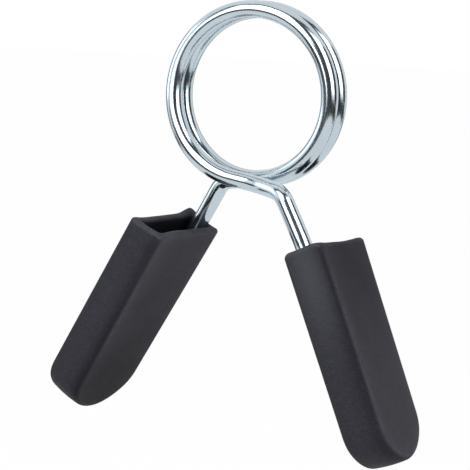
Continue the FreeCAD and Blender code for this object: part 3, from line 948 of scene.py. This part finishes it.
class BuildStudio(CollarOperator, bpy.types.Operator):
    """Builds the camera, the white surroundings, the floor, the softboxes and the mirrored cards"""
    bl_idname = "collar.build_studio"
    bl_label = "Build Studio"

    def execute(self, context):
        studio = context.scene.collar_studio
        axes = self.camera(context, studio)
        self.world(context, studio)
        self.floor(context, studio)
        for name, azimuth, elevation in SOFTBOXES:
            self.softbox(context, name, axes, azimuth, elevation, studio.softbox)
        for name, azimuth, elevation, brightness in CARDS:
            self.card(context, name, axes, STUDIO_MIDDLE, CARD_DISTANCE, azimuth, elevation, brightness)
        for name, place, far, azimuth, elevation, brightness in NEAR_CARDS:
            self.card(context, name, axes, place, far, azimuth, elevation, brightness)
        context.scene.view_settings.view_transform = "Standard"
        return {"FINISHED"}

    def camera(self, context, studio):
        """Stands at the photograph's azimuth and elevation, rolled about its view, and returns its axes.

        It looks at the point that lies right * aside + up * above from the coil's centre.
        """
        a, e, r = studio.yaw, studio.pitch, studio.roll
        back = Vector((math.sin(a) * math.cos(e), -math.cos(a) * math.cos(e), math.sin(e)))
        level_right = (-back).cross(Vector((0, 0, 1))).normalized()
        level_up = level_right.cross(-back)
        right = level_right * math.cos(r) + level_up * math.sin(r)
        up = -level_right * math.sin(r) + level_up * math.cos(r)
        target = right * studio.aside + up * studio.above
        data = bpy.data.cameras.new("Photograph's view")
        data.lens = studio.lens
        data.sensor_width = SENSOR_WIDTH
        camera = bpy.data.objects.new("Photograph's view", data)
        turn = Matrix((right, up, back)).transposed().to_4x4()
        camera.matrix_world = Matrix.Translation(target + back * studio.distance) @ turn
        context.scene.collection.objects.link(camera)
        context.scene.camera = camera
        return right, up, back

    def world(self, context, studio):
        """White to the camera and to mirrors, and softer to dull surfaces."""
        world = bpy.data.worlds.new("White surroundings")
        world.use_nodes = True
        tree = world.node_tree
        tree.nodes.clear()
        soft, seen = tree.nodes.new("ShaderNodeBackground"), tree.nodes.new("ShaderNodeBackground")
        for node, strength in ((soft, studio.ambient), (seen, 1.0)):
            node.inputs["Strength"].default_value = strength
            node.inputs["Color"].default_value = WHITE
        lights = [node.outputs["Background"] for node in (soft, seen)]
        mixed = add_shader_mix(tree, seen_by_mirrors(tree), *lights)
        tree.links.new(mixed, tree.nodes.new("ShaderNodeOutputWorld").inputs["Surface"])
        context.scene.world = world

    def floor(self, context, studio):
        mesh = bpy.data.meshes.new("Floor")
        wide = FLOOR_HALF_WIDTH
        corners = [(-wide, -wide), (wide, -wide), (wide, wide), (-wide, wide)]
        mesh.from_pydata([(x, y, -studio.floor_drop) for x, y in corners], [], [(0, 1, 2, 3)])
        mesh.materials.append(floor_material())
        floor = bpy.data.objects.new("Floor", mesh)
        context.scene.collection.objects.link(floor)

    def softbox(self, context, name, axes, azimuth, elevation, brightness):
        """A rectangle of one brightness L that fills the given angles; its power is pi * area * L.

        It faces the studio's middle from (right sin a + back cos a) cos e + up sin e, at its middle angles.
        """
        right, up, back = axes
        a, e = math.radians(sum(azimuth) / 2), math.radians(sum(elevation) / 2)
        toward = right * math.sin(a) * math.cos(e) + up * math.sin(e) + back * math.cos(a) * math.cos(e)
        data = bpy.data.lights.new(name, "AREA")
        data.shape = "RECTANGLE"
        data.size = 2 * SOFTBOX_DISTANCE * math.tan(math.radians((azimuth[1] - azimuth[0]) / 2))
        data.size_y = 2 * SOFTBOX_DISTANCE * math.tan(math.radians((elevation[1] - elevation[0]) / 2))
        data.energy = brightness * math.pi * data.size * data.size_y
        lamp = bpy.data.objects.new(name, data)
        side = up.cross(toward).normalized()
        turn = Matrix((side, toward.cross(side), toward)).transposed().to_4x4()
        lamp.matrix_world = Matrix.Translation(STUDIO_MIDDLE + toward * SOFTBOX_DISTANCE) @ turn
        context.scene.collection.objects.link(lamp)

    def card(self, context, name, axes, middle, far, azimuth, elevation, brightness):
        """Part of a sphere round a place, between two azimuths and two elevations, which only mirrors see."""
        right, up, back = (np.array(axis) for axis in axes)
        a = np.radians(np.linspace(*azimuth, CARD_COLUMNS))[:, None]
        e = np.radians(np.linspace(*elevation, CARD_ROWS))[None, :]
        spread = np.sin(a)[..., None] * np.cos(e)[..., None] * right + np.sin(e)[..., None] * up
        grid = np.array(middle) + far * (spread + (np.cos(a) * np.cos(e))[..., None] * back)
        mesh = bpy.data.meshes.new(name)
        faces = grid_faces(CARD_COLUMNS, CARD_ROWS, False)
        mesh.from_pydata(grid.reshape(-1, 3).tolist(), [], faces.tolist())
        mesh.materials.append(card_material(brightness))
        card = bpy.data.objects.new(name, mesh)
        card.visible_camera = False
        card.visible_diffuse = False
        card.visible_shadow = False
        card.visible_transmission = False
        context.scene.collection.objects.link(card)


# The softboxes, by azimuths and elevations in degrees from the camera's own direction
SOFTBOXES = [
    ("Left softbox", (-58, -16), (-6, 50)),
    ("Right softbox", (24, 62), (-4, 50)),
]

# Cards that only the bright wire mirrors, by azimuths and elevations in the same way, and brightness
CARDS = [
    ("Dark studio middle", (-20, 26), (-8, 12), 0.03),
    ("Dark studio upper middle", (-16, 19), (12, 58), 0.04),
    ("Dark studio right", (63, 98), (-6, 42), 0.03),
    ("Dark frame left", (-79, -62), (33, 52), 0.05),
    ("Grey frame left", (-79, -62), (2, 33), 0.24),
    ("Dark frame upper left", (-70, -50), (45, 57), 0.03),
    ("Dark frame above", (-60, 62), (54, 66), 0.05),
    ("Dark skirting left", (-88, -45), (-14, 2), 0.04),
    ("Dark skirting middle", (-62, 0), (-19, -7), 0.04),
    ("Dark skirting right", (0, 100), (-21, -7), 0.03),
    ("Dark studio rear left", (-140, -116), (-6, 34), 0.20),
    ("Dark studio rear", (150, 180), (-6, 30), 0.25),
    ("Dark skirting behind", (104, 260), (-14, -8), 0.15),
    ("White reflector", (-116, -81), (5, 35), 2.2),
]

# Small cards near one part of the wire: that part's place, their distance from it, then the same measures
NEAR_CARDS = [
    ("Dark card by the right leg", (0.022, -0.0125, -0.038), 0.15, (-31, -14), (2, 34), 0.03),
    ("White card by the crossing", (0.004, -0.0105, -0.0305), 0.20, (-78, -64), (4, 34), 1.2),
    ("Pale card under the crossing", (0.010, -0.011, -0.0335), 0.018, (-172, -100), (-52, -8), 1.0),
    ("Grey card by the left grip", (-0.0225, 0.0125, -0.0405), 0.012, (-64, -20), (-52, -18), 0.30),
]


class CollarPanel(bpy.types.Panel):
    """The collar's sizes, finishes and studio, with a button for each part of it"""
    bl_idname = "COLLAR_PT_main"
    bl_label = "Spring Collar"
    bl_space_type = "VIEW_3D"
    bl_region_type = "UI"
    bl_category = "Spring Collar"

    def draw(self, context):
        for title, group, operator in SECTIONS:
            box = self.layout.box()
            box.label(text=title)
            values = getattr(context.scene, group)
            for label in values.bl_rna.properties.keys():
                if label not in ("rna_type", "name"):
                    box.prop(values, label)
            if operator:
                box.operator(operator)


SECTIONS = [
    ("Finishes", "collar_finishes", None),
    ("Wire", "collar_wire", BuildSpringWire.bl_idname),
    ("Grips", "collar_grips", BuildGrips.bl_idname),
    ("Studio", "collar_studio", BuildStudio.bl_idname),
]

GROUPS = {
    "collar_finishes": CollarFinishes,
    "collar_wire": CollarWire,
    "collar_grips": CollarGrips,
    "collar_studio": CollarStudio,
}
OTHER_CLASSES = (BuildSpringWire, BuildGrips, BuildStudio, CollarPanel)


def register():
    for label, group in GROUPS.items():
        bpy.utils.register_class(group)
        setattr(bpy.types.Scene, label, PointerProperty(type=group))
    for other in OTHER_CLASSES:
        bpy.utils.register_class(other)


def unregister():
    for other in reversed(OTHER_CLASSES):
        bpy.utils.unregister_class(other)
    for label, group in reversed(GROUPS.items()):
        delattr(bpy.types.Scene, label)
        bpy.utils.unregister_class(group)


def main():
    """Builds the collar and its studio."""
    register()
    bpy.ops.collar.build_spring_wire()
    bpy.ops.collar.build_grips()
    bpy.ops.collar.build_studio()


if __name__ == "__main__":
    main()
